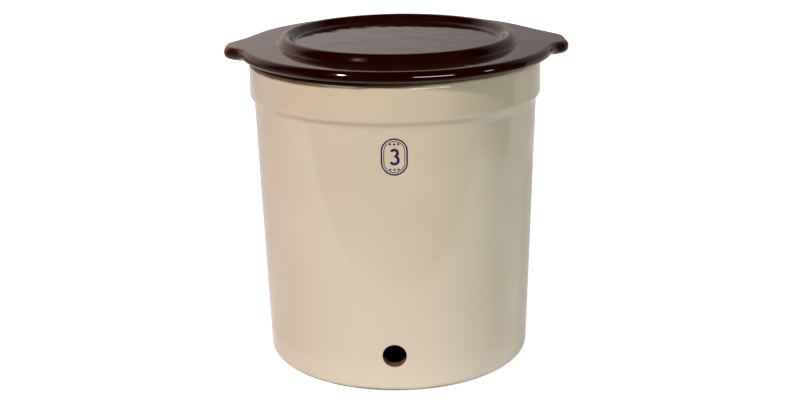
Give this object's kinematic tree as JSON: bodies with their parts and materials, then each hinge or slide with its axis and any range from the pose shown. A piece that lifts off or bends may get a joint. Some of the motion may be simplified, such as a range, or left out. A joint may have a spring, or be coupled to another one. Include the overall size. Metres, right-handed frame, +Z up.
{
  "type": "beverage crock",
  "caption": "Glazed stoneware crock with a thick collar, a spigot hole low in its wall and a loose lid with a raised bead and grip lugs.",
  "frame": {"origin": "centre of the foot, on the surface that the crock stands on", "axes": "+Z up along the crock's axis; the spigot hole faces -Y; the lid's lugs lie near +X and -X"},
  "size_m": [0.3224, 0.2934, 0.3103],
  "materials": {
    "cream_glaze": "glossy cream glaze outside, brown glaze inside, bare clay foot ring",
    "brown_glaze": "glossy dark brown glaze"
  },
  "bodies": {
    "crock": {"crock_body": "cream_glaze"},
    "lid": {"lid": "brown_glaze"}
  },
  "joints": [
    {"name": "lid_lift", "type": "slide", "parent": "crock", "child": "lid", "axis": [0, 0, 1], "range_m": [0, 0.2]}
  ]
}
